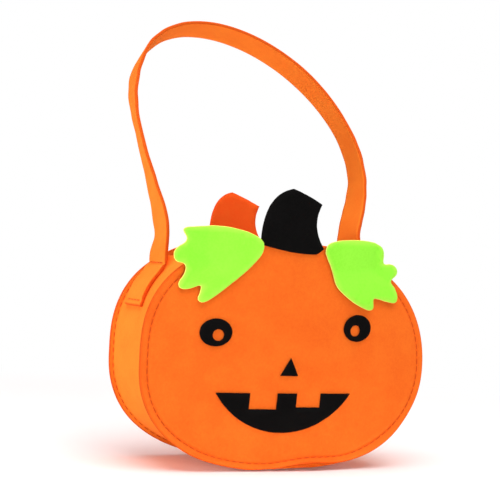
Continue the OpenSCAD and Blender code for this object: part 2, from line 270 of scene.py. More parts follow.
def cutFelt(name, outline, thick, innerAt, side, material, slot, node, hole=None, spacing=cutting["spacing"]):
    # A piece of felt cut to an outline in X and Z: innerAt(x, z) is how far its inner face stands from the
    # bag's middle
    loops = [outline] + ([hole] if hole else [])
    drawn = [[drawIn(loop, r, turn) for r in cutting["rounding"]] for loop, turn in zip(loops, (1, -1))]
    rims = [loop[2] for loop in drawn]
    flat, edges = [], []
    for rim in rims:
        start = len(flat)
        flat += rim
        edges += [(start + i, start + (i + 1) % len(rim)) for i in range(len(rim))]
    flat += latticeInside(rims, spacing)
    made = delaunay_2d_cdt([Vector(p) for p in flat], edges, [], 1, 1e-5)
    newOf = {old: new for new, olds in enumerate(made[3]) for old in olds}
    points, cutEdge = [], []
    count = len(made[0])
    for out in (thick, 0.0):  # outer face, then inner face
        for x, z in made[0]:
            points.append((x, side * (innerAt(x, z) + out), z))
            cutEdge.append(0.0)
    kept = [f for f in made[2] if not hole or not holds(rims[1], *middleOf([made[0][v] for v in f]))]
    faces = [tuple(f) for f in kept] + [tuple(v + count for v in reversed(f)) for f in kept]
    start = 0
    for loop in drawn:
        n = len(loop[2])
        outer = [newOf[start + i] for i in range(n)]
        rows = [outer]
        for k, out in cutting["rim"]:
            rows.append(list(range(len(points), len(points) + n)))
            points += [(x, side * (innerAt(x, z) + out * thick), z) for x, z in loop[k]]
            # the rim takes the look's edge colour: painted shade on the orange felt, a painted highlight on
            # the lime felt
            cutEdge += [1.0] * n
        rows.append([v + count for v in outer])
        for a, b in zip(rows, rows[1:]):
            faces += ringFaces(a, b)
        for v in rows[0] + rows[-1]:
            cutEdge[v] = cutting["besideRim"]
        start += n
    return addPiece(name, points, faces, material, replaced=[node], cutEdge=cutEdge)


def drawIn(loop, inset, turn):  # the loop moved in by the inset, a little unevenly
    n, made = len(loop), []
    for i in range(n):
        (ax, az), (bx, bz), (cx, cz) = loop[i - 1], loop[i], loop[(i + 1) % n]
        one = Vector((-(bz - az), bx - ax)).normalized()
        two = Vector((-(cz - bz), cx - bx)).normalized()
        m = (one + two) / max(cutting["sharpest"], 1 + one.dot(two))
        uneven = wobble(bx / cutting["fraySize"], 0, bz / cutting["fraySize"], 3)
        d = turn * (inset + cutting["fray"] * uneven)
        made.append((bx + m.x * d, bz + m.y * d))
    return made


def latticeInside(rims, spacing):  # even triangles, clear of the rims
    found = []
    xs, zs = [p[0] for p in rims[0]], [p[1] for p in rims[0]]
    row, z = 0, min(zs) + spacing / 2
    while z < max(zs):
        x = min(xs) + spacing * (0.25 if row % 2 else 0.75)
        while x < max(xs):
            near = min((x - p[0]) ** 2 + (z - p[1]) ** 2 for rim in rims for p in rim)
            if near > (cutting["clear"] * spacing) ** 2 and sum(holds(rim, x, z) for rim in rims) == 1:
                found.append((x, z))
            x += spacing
        z += spacing * cutting["rowRise"]
        row += 1
    return found


def middleOf(corners):
    return sum(p[0] for p in corners) / len(corners), sum(p[1] for p in corners) / len(corners)


def holds(loop, x, z):
    inside = False
    for (ax, az), (bx, bz) in zip(loop, loop[1:] + loop[:1]):
        if (az > z) != (bz > z) and x < ax + (z - az) * (bx - ax) / (bz - az):
            inside = not inside
    return inside


def alongSides(corners, step, closed=True): # points along straight sides, without the last one
    ends = corners[1:] + corners[:1] if closed else corners[1:]
    made = []
    for (ax, az), (bx, bz) in zip(corners, ends):
        n = max(1, round(math.hypot(bx - ax, bz - az) / step))
        made += [(mix(ax, bx, i / n), mix(az, bz, i / n)) for i in range(n)]
    return made


def bend(a, c, b, steps):  # quadratic curve without its end point
    made = []
    for i in range(steps):
        t = i / steps
        k = ((1 - t) ** 2, 2 * t * (1 - t), t * t)
        made.append(tuple(k[0] * a[j] + k[1] * c[j] + k[2] * b[j] for j in (0, 1)))
    return made


def counterClockwise(loop):
    area = sum(ax * bz - bx * az for (ax, az), (bx, bz) in zip(loop, loop[1:] + loop[:1]))
    return loop if area > 0 else loop[::-1]


# Shader wiring

class Wire:
    def __init__(self, tree, socket=None):
        self.tree, self.socket = tree, socket

    def node(self, kind, settings=None, inputs=None, out=0):
        made = self.tree.nodes.new("ShaderNode" + kind)
        for key, value in (settings or {}).items():
            setattr(made, key, value)
        for key, value in (inputs or {}).items():
            if isinstance(value, Wire):
                self.tree.links.new(value.socket, made.inputs[key])
            else:
                made.inputs[key].default_value = value
        return Wire(self.tree, made.outputs[out])

    def math(self, operation, a, b):
        return self.node("Math", {"operation": operation}, {0: a, 1: b})

    def __add__(self, other):
        return self.math("ADD", self, other)

    __radd__ = __add__

    def __mul__(self, other):
        return self.math("MULTIPLY", self, other)

    def smooth(self, low, high):  # 0 below low, 1 above high
        ranges = {0: self, 1: low, 2: high, 3: 0.0, 4: 1.0}
        return self.node("MapRange", {"interpolation_type": "SMOOTHSTEP"}, ranges)

    def blend(self, a, b):  # colour a where this is 0, b where it is 1
        return self.node("Mix", {"data_type": "RGBA"}, {0: self, 6: a, 7: b}, out=2)


def srgb(r, g, b):
    def linear(v):
        v /= 255
        return v / 12.92 if v <= 0.04045 else ((v + 0.055) / 1.055) ** 2.4
    return (linear(r), linear(g), linear(b), 1.0)


def newMaterial(name):
    made = bpy.data.materials.new(name)
    made.use_nodes = True
    made.node_tree.nodes.clear()
    return made, Wire(made.node_tree)


def finishMaterial(wire, shader):
    out = wire.tree.nodes.new("ShaderNodeOutputMaterial")
    wire.tree.links.new(shader.socket, out.inputs["Surface"])


def feltMaterial(name, look):
    # Matted wool: clouds of shade, clumps about a millimetre across, and fine crossing fibres
    made, wire = newMaterial(name)
    place = wire.node("TexCoord", out=3)
    clouds = wire.node("TexNoise", None, {"Vector": place, "Scale": 55.0, "Detail": 3.0, "Roughness": 0.55})
    clumps = wire.node("TexNoise", None, {"Vector": place, "Scale": 620.0, "Detail": 4.0, "Roughness": 0.65,
                                          "Distortion": 0.6})
    fibre = wire.node("TexNoise", {"noise_type": "RIDGED_MULTIFRACTAL"},
                      {"Vector": place, "Scale": 850.0, "Detail": 3.0, "Roughness": 0.6, "Lacunarity": 2.3,
                       "Distortion": 1.6})
    strands = fibre.smooth(0.75, 1.9)
    shade = clouds.smooth(0.3, 0.7) * 0.45 + clumps.smooth(0.3, 0.72) * 0.55
    colour = shade.blend(look["deep"], look["main"])
    colour = (strands * look["strandShow"]).blend(colour, look["strand"])
    # cut edges take the look's edge colour: painted shade of the felt's thickness and of the dark gap beside
    # it on the orange felts, a painted highlight where the edge catches the light on the lime felt
    cut = wire.node("Attribute", {"attribute_name": "cutEdge"}, out=2)
    colour = (cut * look["edgeShow"]).blend(colour, look["edge"])
    rough = 0.86 + clumps * 0.12
    height = clumps * 0.7 + strands * 0.5
    normal = wire.node("Bump", None, {"Strength": look["bump"], "Distance": 0.0004, "Height": height})
    shader = wire.node("BsdfPrincipled", None, {
        "Base Color": colour, "Roughness": rough, "Normal": normal, "Specular IOR Level": look["gloss"],
        "Sheen Weight": look["sheen"], "Sheen Roughness": 0.45, "Sheen Tint": look["sheenTint"]})
    finishMaterial(wire, shader)
    return made


def threadMaterial(name, look):
    # Twisted polyester sewing thread
    made, wire = newMaterial(name)
    place = wire.node("TexCoord", out=3)
    twist = wire.node("TexWave", {"bands_direction": "DIAGONAL"},
                      {"Vector": place, "Scale": 900.0, "Distortion": 2.0, "Detail": 1.0})
    fuzz = wire.node("TexNoise", None, {"Vector": place, "Scale": 2400.0, "Detail": 2.0})
    colour = (twist * 0.6 + fuzz * 0.4).blend(look["deep"], look["main"])
    normal = wire.node("Bump", None, {"Strength": 0.4, "Distance": 0.0001, "Height": twist})
    shader = wire.node("BsdfPrincipled", None, {
        "Base Color": colour, "Roughness": 0.7 + fuzz * 0.15, "Normal": normal, "Specular IOR Level": 0.1,
        "Sheen Weight": 0.02})
    finishMaterial(wire, shader)
    return made


# orange felt of the panels; its darker edge colour is painted shade along the cut edges
orangeLook = {
    "main": srgb(247, 116, 36), "deep": srgb(240, 101, 30), "strand": srgb(255, 142, 61), "strandShow": 0.25,
    "edge": srgb(222, 82, 20), "edgeShow": 0.8, "bump": 0.3, "sheen": 0.03, "sheenTint": srgb(255, 150, 80),
    "gloss": 0.05,
}
# gusset and strap: the orange felt made lighter, partly painted light that falls on them from the left; the
# darker edge colour is painted shade of their edges and the gaps beside them
sideLitLook = dict(orangeLook, main=srgb(255, 136, 44), deep=srgb(250, 121, 37), strand=srgb(255, 156, 70),
                edge=srgb(204, 70, 16))
# back stem: the orange felt made deeper and redder, as painted shade of the bag's inside where the stem
# stands; its darker edge colour is painted shade too
backStemShadeLook = dict(orangeLook, main=srgb(255, 103, 35), deep=srgb(255, 91, 29), strand=srgb(255, 110, 50),
                      edge=srgb(214, 62, 16), sheenTint=srgb(255, 150, 90))
# lime felt of the leaves; its pale yellow edge colour is a painted highlight where the cut edges catch the
# light
limeLook = dict(orangeLook, main=srgb(157, 250, 69), deep=srgb(143, 241, 57), strand=srgb(182, 255, 104),
                strandShow=0.3, edge=srgb(252, 248, 120), edgeShow=0.9, sheenTint=srgb(220, 255, 160))
blackLook = dict(orangeLook, main=srgb(17, 16, 16), deep=srgb(12, 11, 11), strand=srgb(34, 32, 32),
                 strandShow=0.3, edge=srgb(26, 23, 22), edgeShow=0.5, sheen=0.004,
                 sheenTint=srgb(120, 112, 112), gloss=0.02)
# thread darker than the felt, as painted shade of the groove it pulls into the felt
threadShadeLook = {"main": srgb(228, 90, 21), "deep": srgb(198, 66, 14)}

orangeFelt = feltMaterial("orange wool felt", orangeLook)
sideLitFelt = feltMaterial("orange wool felt lightened with painted light", sideLitLook)
backStemShadeFelt = feltMaterial("orange wool felt deepened with painted shade", backStemShadeLook)
limeFelt = feltMaterial("lime wool felt", limeLook)
blackFelt = feltMaterial("black wool felt", blackLook)
shadedOrangeThread = threadMaterial("orange sewing thread darkened with painted shade", threadShadeLook)
print("felt and thread materials made")


# Seam lines: where the panels are sewn to the gusset, measured along their length

stitch = {
    "pitch": 5.0, "length": 3.8, "thick": 0.6, "sides": 6, "steps": 7,
    "groove": 0.7, "grooveWidth": 0.75,  # the felt is drawn in along the thread
    "ridge": 0.35, "ridgeAt": 1.5, "ridgeWidth": 0.9,  # and swells beside it
    "strapSink": 0.3, "slopeOver": 0.8,  # how deep the strap's own lie, and the reach its slope is taken over
    "holePull": 0.25,  # share of the groove that comes and goes between the needle holes
    "sunk": 0.35, "taper": 0.35, "ply": 0.16, "plyTurn": 5.0,  # shares of a stitch's thickness, and its twist
}


def measureSeam(seam, steps=600):
    top = angleAt(bag["sewnTop"], seam["stitch"])
    angles = [math.pi - top + (math.pi + 2 * top) * i / steps for i in range(steps + 1)]
    run = [0.0]
    for a, b in zip(angles, angles[1:]):
        ends = [outlineAt(c, seam["stitch"], seam["side"] * wallHalf) for c in (a, b)]
        run.append(run[-1] + math.dist(*ends))
    count = int(run[-1] / stitch["pitch"])
    seam.update(angles=angles, run=run, count=count, pitch=run[-1] / count)


def seamAngleAt(seam, s):
    run, angles = seam["run"], seam["angles"]
    k = min(bisect(run, s), len(run) - 1)
    return mix(angles[k - 1], angles[k], (s - run[k - 1]) / (run[k] - run[k - 1]))


def seamDistanceAt(seam, a):  # None above the shoulders, where nothing is sewn
    angles, run = seam["angles"], seam["run"]
    a = a % (2 * math.pi)
    if a < math.pi / 2:
        a += 2 * math.pi
    if not angles[0] <= a <= angles[-1]:
        return None
    place = (a - angles[0]) / (angles[-1] - angles[0]) * (len(run) - 1)
    low = min(int(place), len(run) - 2)
    return mix(run[low], run[low + 1], place - low)


def grooveAt(seam, a, inset):  # the thread pulls the felt in, most at the needle holes
    s = seamDistanceAt(seam, a)
    if s is None:
        return 0.0
    hole = stitch["holePull"]
    pull = 1 - hole + hole * math.cos(2 * math.pi * s / seam["pitch"])
    within = inset - seam["stitch"]
    ridge = stitch["ridge"] * math.exp(-((within - stitch["ridgeAt"]) / stitch["ridgeWidth"]) ** 2)
    return stitch["groove"] * pull * math.exp(-(within / stitch["grooveWidth"]) ** 2) - ridge


measureSeam(frontSeam)
measureSeam(backSeam)


# Front and back panels

panel = {
    "steps": 80,  # squares across the part inside the seam
    "nearStitch": (0.55, 0.25, 0.0, -0.3, -0.65),  # rows beside the stitch line
    "lipShares": (0.75, 0.5, 0.3),  # then rows at these shares of what is left
    "lastRow": 0.42,
    "rim": ((0.12, 0.2), (0.0, 0.5), (0.12, 0.8)),  # inset and share of the thickness around the cut edge
    "edgeShade": ((0.3, 1.0), (0.5, 0.45)),  # share of the cut edge's painted shade up to these insets
}


def panelFelt(name, seam, node):
    n, thick, lip = panel["steps"], bag["felt"], seam["lip"]
    points, cutEdge = [], []

    def addPoint(x, z, a, inset, depth, outer):
        y = panelFace(x, z, seam) + lipWaveAt(a, inset, seam) - depth * thick
        y += turnLip(a, inset, depth, seam)[1]
        if outer:
            y -= grooveAt(seam, a, inset)
        if seam is frontSeam:
            z += frontLiftAt(x, z)
        points.append((x, seam["side"] * y, z))
        cutEdge.append(next((share for within, share in panel["edgeShade"] if inset < within), 0.0))
        return len(points) - 1

    core, angles = {}, {}
    for depth in (0, 1):
        for j in range(n + 1):
            for i in range(n + 1):
                u, v = 2 * i / n - 1, 2 * j / n - 1
                dx, dz = u * math.sqrt(1 - v * v / 2), v * math.sqrt(1 - u * u / 2)
                r, a = math.hypot(dx, dz), math.atan2(dz, dx)
                sx, sz = outlineAt(a, lip, seam["side"] * wallHalf)
                z = bag["widestZ"] + (sz - bag["widestZ"]) * r
                inset = lip + math.hypot(sx, sz - bag["widestZ"]) * (1 - r)
                core[depth, i, j] = addPoint(sx * r, z, a, inset, depth, depth == 0)
                angles[i, j] = a
    border = ([(i, 0) for i in range(n)] + [(n, j) for j in range(n)]
              + [(n - i, n) for i in range(n)] + [(0, n - j) for j in range(n)])
    faces = [(core[d, i, j], core[d, i + 1, j], core[d, i + 1, j + 1], core[d, i, j + 1])
             for d in (0, 1) for i in range(n) for j in range(n)]
    near = [seam["stitch"] + step for step in panel["nearStitch"]]
    insets = near + [near[-1] * share for share in panel["lipShares"]] + [panel["lastRow"]]
    plan = ([(inset, 0.0, True) for inset in insets]
            + [(inset, share, False) for inset, share in panel["rim"]]
            + [(inset, 1.0, False) for inset in reversed(insets)])
    rows = [[core[0, i, j] for i, j in border]]
    for inset, depth, outer in plan:
        row = []
        for i, j in border:
            a = angles[i, j]
            x, z = outlineAt(a, turnLip(a, inset, depth, seam)[0], seam["side"] * wallHalf)
            row.append(addPoint(x, z, a, inset, depth, outer))
        rows.append(row)
    rows.append([core[1, i, j] for i, j in border])
    for a, b in zip(rows, rows[1:]):
        faces += ringFaces(a, b)
    return addPiece(name, points, faces, orangeFelt, replaced=[node], cutEdge=cutEdge)


frontPanel = panelFelt("frontPanelFelt", frontSeam, "front_panel")
backPanel = panelFelt("backPanelFelt", backSeam, "back_panel")
print("panels made")


# Strap settings, and its sewn ends, which the gusset's ends lie against

strap = {
    "width": 26.0, "felt": 2.4, "lowZ": 101.0, "foldZ": 130.0,
    "rows": ((104.3, 0.6), (128.5, 1.2)),  # heights of the stitches, and how deep they pull the felt in
    "sewnY": 6.5, "sewnSlope": 0.345,  # middle of the lower end, and its run back with height
    "flare": 0.075, "swell": 0.3,  # its rear edge stands out, and its middle stands off the wall
    "hinge": (14.4, 139.8), "lean": 28.0, "loopFrom": 152.0, "height": 180.0, "topX": -19.0,
    # twist in degrees at heights along the loop: its outer face shows on the left, its inner one on top
    "left": {
        "side": -1, "foldX": 73.6, "foot": 70.2, "bow": 9.6, "quick": 1.0, "spring": 108.0, "power": 2.15,
        "twist": ((-10, -6), (0, -3.5), (21, 4), (42, 11), (66, 16.5), (92, 17), (108, 12), (127, 3.5),
                  (140, -2), (155, -2.5), (165, -7), (175, -11.5), (181, -14))},
    "right": {
        "side": 1, "foldX": 70.2, "foot": 64.5, "bow": 19.3, "quick": 0.85, "spring": 74.0, "power": 1.85,
        "twist": ((-10, 2), (8, 7), (20, 12), (30, 14), (40, 12), (52, 6), (70, -4), (87, -9), (105, -13),
                  (150, -13), (181, -14))},
    "turnRise": 20.0,  # height above the fold over which it turns square to the loop
    "step": 1.5, "legSteps": 24, "archSteps": 40, "sewnSteps": 20, "freeSteps": 5,
    "foldRoom": 0.8, "freeSlope": 0.1,  # how near the fold the sewn part ends, and how it leans from there
    "rim": ((0.0, 0.35), (0.15, 0.75), (0.45, 1.0)),  # inset and share of the thickness at its rounded edges
    # edgeShade: width of the band along each side that takes the felt's painted edge shade
    "acrossSteps": 12, "edgeShade": 0.2, "rowWidth": 1.1, "endThin": 0.7, "ease": 0.3,
    "uneven": 0.12, "edgeWave": 6, "softWave": (14, 16),
}


def strapY(z):  # middle of the strap where it is sewn
    return strap["sewnY"] + strap["sewnSlope"] * (z - strap["lowZ"])


def sewnStrap(leg, z):  # lies on the wall, then runs straight up to the fold
    rise = (z - strap["lowZ"]) / (strap["foldZ"] - strap["lowZ"])

    def wallAt(height):
        inset = wallInsetAt(strapY(height)) - bag["seamGap"] - strap["felt"] / 2
        return halfWidthAt(height, inset) + leg["side"] * askewAt(height - bag["widestZ"], strapY(height))

    onIt = wallAt(z)
    straight = mix(wallAt(strap["lowZ"]), leg["foldX"], rise)
    x = (onIt + straight + math.hypot(onIt - straight, strap["ease"])) / 2  # the outer of both
    x += strap["swell"] * math.sin(math.pi * clamp(rise))
    return Vector((leg["side"] * x, strapY(z), z))


# Gusset: one strip around the sides and bottom, its long edges turned out against the panels

gusset = {
    "bendRadius": 2.2, "stations": 180, "wallSteps": 28,
    "sideSag": 0.9, "bottomSag": 1.6, "sagTop": 96.0, "sagFade": 30.0,
    "follow": (0.25, 0.8),  # how much of the front's buckle and rise its turned edge takes on
    # the strap holds its ends out: from this height, over this reach to both sides, behind the strap's felt
    "heldFrom": 112.0, "heldRise": 8.0, "heldReach": 18.0, "heldFade": 10.0, "heldBehind": 0.8,
    "heldBack": 4.0,
    "endThin": 0.7, "rim": 0.12, "edgeSteps": 8, "bendSteps": 6, "deepest": 9.0,
    "sagEven": 0.6, "sagSize": 30.0, "bottomRamp": (2.0, 0.9), "wallRoom": 0.5, "wallFade": 2.5,
}


def heldOut(x, y, z):  # how far the strip's end moves out, to lie against the strap
    leg = strap["left"] if x < 0 else strap["right"]
    w = y - strapY(z)
    strapX = abs(sewnStrap(leg, min(z, strap["foldZ"])).x) + strap["flare"] * w
    strapX -= gusset["heldBehind"] * strap["felt"]
    under = ease((gusset["heldReach"] - abs(w)) / gusset["heldFade"])
    under *= ease((wallHalf - 0.5 - y) / gusset["heldBack"])
    return (strapX - abs(x)) * under * ease((z - gusset["heldFrom"]) / gusset["heldRise"])


def gussetSection():
    # Middle line from front edge to back edge: y, inset, and the way out as y and inset
    half, r = bag["felt"] / 2, gusset["bendRadius"]
    edgeY = wallHalf + half

    def turnedEdge(seam):  # from the raw edge in to the wall
        side, wall = seam["side"], seam["lip"] + half
        n = gusset["edgeSteps"]
        made = [(side * edgeY, mix(0.0, wall - r, i / n), (-side, 0.0)) for i in range(n)]
        n = gusset["bendSteps"]
        for i in range(n + 1):
            t = math.pi / 2 * i / n
            made.append((side * (edgeY - r * (1 - math.cos(t))), wall - r + r * math.sin(t),
                         (-side * math.cos(t), -math.sin(t))))
        return made

    front, back = turnedEdge(frontSeam), turnedEdge(backSeam)
    (y0, inset0, _), (y1, inset1, _) = front[-1], back[-1]
    steps = gusset["wallSteps"]
    wall = [(mix(y0, y1, i / steps), mix(inset0, inset1, i / steps), (0.0, -1.0)) for i in range(1, steps)]
    return front + wall + back[::-1]


def gussetFelt():
    half, line = bag["felt"] / 2, gussetSection()

    def place(y, inset, t):
        top = angleAt(bag["sewnTop"], clamp(inset, 0.0, gusset["deepest"]))
        a = -math.pi / 2 + t * (math.pi / 2 + top)
        wallX, wallZ = outlineAt(a, wallInsetAt(y), y)
        side = gusset["sideSag"] * (gusset["sagEven"] + wobble(4 * a, y / gusset["sagSize"], 0, 4))
        sag = mix(side, -gusset["bottomSag"], ramp(-math.sin(a), *gusset["bottomRamp"]))
        sag *= clamp(1 - (y / wallHalf) ** 2) * ease((gusset["sagTop"] - wallZ) / gusset["sagFade"])
        room = wallHalf + gusset["wallRoom"] - abs(y)
        wall = ease(room / gusset["wallFade"])  # 1 on the wall, 0 in the turned edge
        seam = frontSeam if y < 0 else backSeam
        turned, out = turnLip(a, inset, 0, seam, gusset["follow"][0])
        x, z = outlineAt(a, mix(turned, inset + sag, wall), y)
        wave = (lipWaveAt(a, inset, seam) + out + bellAt(z, seam)) * (1 - wall)
        if y < 0:
            z += frontLiftAt(x, z, *gusset["follow"]) * clamp(-y / wallHalf)
        held = heldOut(wallX, y, wallZ) * wall
        return x + math.copysign(held, x), y + (wave if y > 0 else -wave), z

    def ring(t, thin):
        def layer(way):
            d = way * half * thin
            return [place(y + n[0] * d, max(inset, gusset["rim"]) + n[1] * d, t) for y, inset, n in line]
        return layer(1) + layer(-1)[::-1]

    count = gusset["stations"]
    rings = [ring(-1 + 2 * k / count, 1.0) for k in range(count + 1)]
    rings = [ring(-1.0, gusset["endThin"])] + rings + [ring(1.0, gusset["endThin"])]
    points, faces = sweep(rings)
    tips = (0, len(line) - 1, len(line), 2 * len(line) - 1)
    # the end rings and the tips of the turned edges take the felt's painted edge shade
    cutEdge = [1.0 if k in (0, count + 2) or i in tips else 0.0
               for k in range(count + 3) for i in range(len(rings[0]))]
    return addPiece("gussetFelt", points, faces, sideLitFelt, replaced=["gusset"],
                    cutEdge=cutEdge)


gussetPiece = gussetFelt()
print("gusset made")


# Strap: one strip from shoulder to shoulder, sewn at both ends and leaning back with a slight twist

def keyed(keys, v):  # smooth value between the two nearest keys
    if v <= keys[0][0]:
        return keys[0][1]
    for (v0, d0), (v1, d1) in zip(keys, keys[1:]):
        if v <= v1:
            return mix(d0, d1, ease((v - v0) / (v1 - v0)))
    return keys[-1][1]


def between(p, leaving, q, arriving, t):  # point on a smooth curve from p to q, with its two slopes
    return ((2 * t ** 3 - 3 * t ** 2 + 1) * p + (t ** 3 - 2 * t ** 2 + t) * leaving
            + (3 * t ** 2 - 2 * t ** 3) * q + (t ** 3 - t ** 2) * arriving)


def strapLine():
    lean = math.radians(strap["lean"])
    y0, z0 = strap["hinge"]

    def inWorld(x, h):
        return Vector((x, y0 + h * math.sin(lean), z0 + h * math.cos(lean)))

    def loopSide(leg):
        side, made = leg["side"], []
        for i in range(1, strap["legSteps"] + 1):
            t = i / strap["legSteps"]
            x = leg["foot"] + leg["bow"] * ease(t ** leg["quick"])
            made.append(inWorld(side * x, leg["spring"] * t))
        reach = leg["foot"] + leg["bow"] - side * strap["topX"]
        last = strap["archSteps"]
        for i in range(1, last + 1):
            a = math.pi / 2 * i / last
            x = reach * math.cos(a) ** (2 / leg["power"]) if i < last else 0.0
            h = leg["spring"] + (strap["height"] - leg["spring"]) * math.sin(a) ** (2 / leg["power"])
            made.append(inWorld(strap["topX"] + side * x, h))
        return [p for p in made if p.z > strap["loopFrom"]]

    def half(leg):
        loop = loopSide(leg)
        n, room = strap["sewnSteps"], strap["foldRoom"]
        sewn = [sewnStrap(leg, mix(strap["lowZ"], strap["foldZ"] - room, i / n)) for i in range(n + 1)]
        foot = sewnStrap(leg, strap["foldZ"]) + Vector((0, 0, room))
        rise = loop[0].z - foot.z
        into = (loop[1] - loop[0]) / (loop[1].z - loop[0].z) * rise
        upright = Vector((0, strap["freeSlope"], 1)) * rise
        n = strap["freeSteps"]  # the free part between the fold and the loop
        return sewn + [between(foot, upright, loop[0], into, i / n) for i in range(n)] + loop

    return half(strap["left"]) + half(strap["right"])[-2::-1]


def evenly(line, step):  # points at even steps along a smooth curve through the line
    run = [0.0]
    for a, b in zip(line, line[1:]):
        run.append(run[-1] + (b - a).length)
    count = round(run[-1] / step)
    last = len(line) - 1
    made, k = [], 0
    for i in range(count + 1):
        s = run[-1] * i / count
        while k < last - 1 and run[k + 1] < s:
            k += 1
        before, after = max(k - 1, 0), min(k + 2, last)
        span = run[k + 1] - run[k]
        leaving = (line[k + 1] - line[before]) / (run[k + 1] - run[before]) * span
        arriving = (line[after] - line[k]) / (run[after] - run[k]) * span
        made.append(between(line[k], leaving, line[k + 1], arriving, (s - run[k]) / span))
    return made


def strapSection():  # rounded flat section: across, and out
    half, thick, n = strap["width"] / 2, strap["felt"] / 2, strap["acrossSteps"]
    rim = [(half - inset, share * thick) for inset, share in strap["rim"]]
    flat = rim[-1][0]
    upper = [(-w, h) for w, h in rim] + [(mix(-flat, flat, i / n), thick) for i in range(1, n)] + rim[::-1]
    return upper + [(w, -h) for w, h in reversed(upper)]


def strapAcross(p, along):  # along the wall where it is sewn, square to the loop above
    leg = strap["left"] if p.x < strap["topX"] else strap["right"]
    sewn = Vector((leg["side"] * strap["flare"], 1, 0))
    lean = math.radians(strap["lean"])
    h = (p.z - strap["hinge"][1]) / math.cos(lean)
    square = Vector((0, math.cos(lean), -math.sin(lean)))
    square = Matrix.Rotation(math.radians(-keyed(leg["twist"], h)), 3, along) @ square
    square = (square - along * square.dot(along)).normalized()
    return sewn.normalized().lerp(square, ease((p.z - strap["foldZ"]) / strap["turnRise"])).normalized()


def strapFelt():
    line = evenly(strapLine(), strap["step"])
    section, half = strapSection(), strap["width"] / 2
    wide, long = strap["softWave"]
    rings, cutEdge = [], []
    last = len(line) - 1
    for k, p in enumerate(line):
        along = (line[min(k + 1, last)] - line[max(k - 1, 0)]).normalized()
        across = strapAcross(p, along)
        out = along.cross(across).normalized()  # away from the loop's middle
        thin = strap["endThin"] if k in (0, last) else 1.0
        pull = 0.0
        if p.z < strap["foldZ"]:
            pull = max(deep * math.exp(-((p.z - z) / strap["rowWidth"]) ** 2) for z, deep in strap["rows"])
        ring = []
        for w, h in section:
            edge = strap["uneven"] * wobble(k / strap["edgeWave"], 0, 2 if w > 0 else 5) * abs(w) / half
            soft = strap["uneven"] * wobble(w / wide, k / long, 3 if h > 0 else 8, 2) * abs(h)
            stands = h * thin + soft - (pull if h > 0 else 0.0)
            ring.append(tuple(p + across * (w + edge) + out * stands))
            # the sides and both ends take the felt's painted edge shade
            cutEdge.append(1.0 if abs(w) > half - strap["edgeShade"] or k in (0, last) else 0.0)
        rings.append(ring)
    points, faces = sweep(rings)
    return addPiece("strapFelt", points, faces, sideLitFelt, body=None, cutEdge=cutEdge,
                    replaced=["left_strap_end", "right_strap_end", "handle_loop"])


strapPiece = strapFelt()
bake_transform(strapPiece)
print("strap made")


# Stems, one glued over the top edge of each panel

stem = {"x": -7.0, "width": 43.0, "height": 38.0, "footZ": 142.0, "felt": 1.5, "gap": 0.1, "backShift": 1.6}


def stemOutline(shift=0.0):
    left = stem["x"] + shift - stem["width"] / 2

    def at(across, up):
        return left + across * stem["width"], stem["footZ"] + up * stem["height"]

    heel, crown, beak, toe, sole = at(0, 0.06), at(0.42, 1.0), at(0.9, 0.77), at(1.0, 0.03), at(0.88, -0.065)
    return counterClockwise(bend(heel, at(-0.02, 0.9), crown, 30) + bend(crown, at(0.66, 0.91), beak, 18)
                            + bend(beak, at(0.73, 0.4), toe, 26) + bend(toe, at(0.93, -0.03), sole, 5)
                            + bend(sole, at(0.5, -0.09), heel, 30))


def stemFace(seam):
    return lambda x, z: panelFace(x, z, seam) + stem["gap"]


frontStem = cutFelt("frontStemFelt", stemOutline(), stem["felt"], stemFace(frontSeam), -1, blackFelt,
                    "black_felt", "front_stem")
# the back stem's deeper orange is painted shade
backStem = cutFelt("backStemFelt", stemOutline(stem["backShift"]), stem["felt"], stemFace(backSeam), 1,
                   backStemShadeFelt, "deep_orange_felt", "back_stem")
print("stems made")


# Leaves, glued to the front panel, with their roots over the stem's feet

leaf = {
    "felt": 1.5, "gap": 0.5, "lift": 1.3, "rootZ": 143.5, "drop": 35.5,
    "curlShares": (0.55, 0.45), "curlWave": 0.35, "waveSize": 16.0, "overStem": 4.0, "step": 1.1,
    # corners that the rounded outline is drawn between: root, top, then the lobes from the tip down and back
    "left": {"side": -1, "length": 50.5, "corners": (
        (-26.2, 143.2), (-29.5, 148.5), (-36.5, 151.8), (-52, 154.9), (-66, 153.5), (-78, 152.2),
        (-71.5, 144.5), (-80.5, 139.5), (-82, 134.5), (-79.5, 130.5), (-74, 130.2), (-72.8, 126.2),
        (-75, 121.5), (-77.9, 117.8), (-76.8, 113.8), (-70.5, 114.2), (-63.6, 117.6), (-64.6, 112.5),
        (-66.8, 107.8), (-63, 105.6), (-55.5, 110.2), (-44, 120), (-33.5, 129.2), (-28.2, 137))},
    "right": {"side": 1, "length": 60.0, "corners": (
        (14, 141.6), (16.5, 146.8), (23.5, 149), (36, 150.3), (51, 150.3), (63, 148.5), (66.3, 143),
        (64.8, 135), (72, 136.2), (76.4, 132.8), (76.2, 128.6), (70.6, 124.2), (75.2, 120.2), (77.2, 114.5),
        (75, 109.8), (68, 110.5), (59, 112.6), (54.9, 112.9), (56, 107.5), (54.6, 104.8), (49.5, 105.3),
        (40, 109.3), (31, 115), (24.8, 120.5), (22, 129.5), (17.5, 137))},
}


def leafOutline(one):
    made, corners = [], one["corners"]
    for i, here in enumerate(corners):
        before, after = corners[i - 1], corners[(i + 1) % len(corners)]
        a = tuple((before[j] + here[j]) / 2 for j in (0, 1))
        b = tuple((after[j] + here[j]) / 2 for j in (0, 1))
        length = math.dist(a, here) + math.dist(here, b)
        made += bend(a, here, b, max(3, round(length / leaf["step"])))
    return counterClockwise(made)


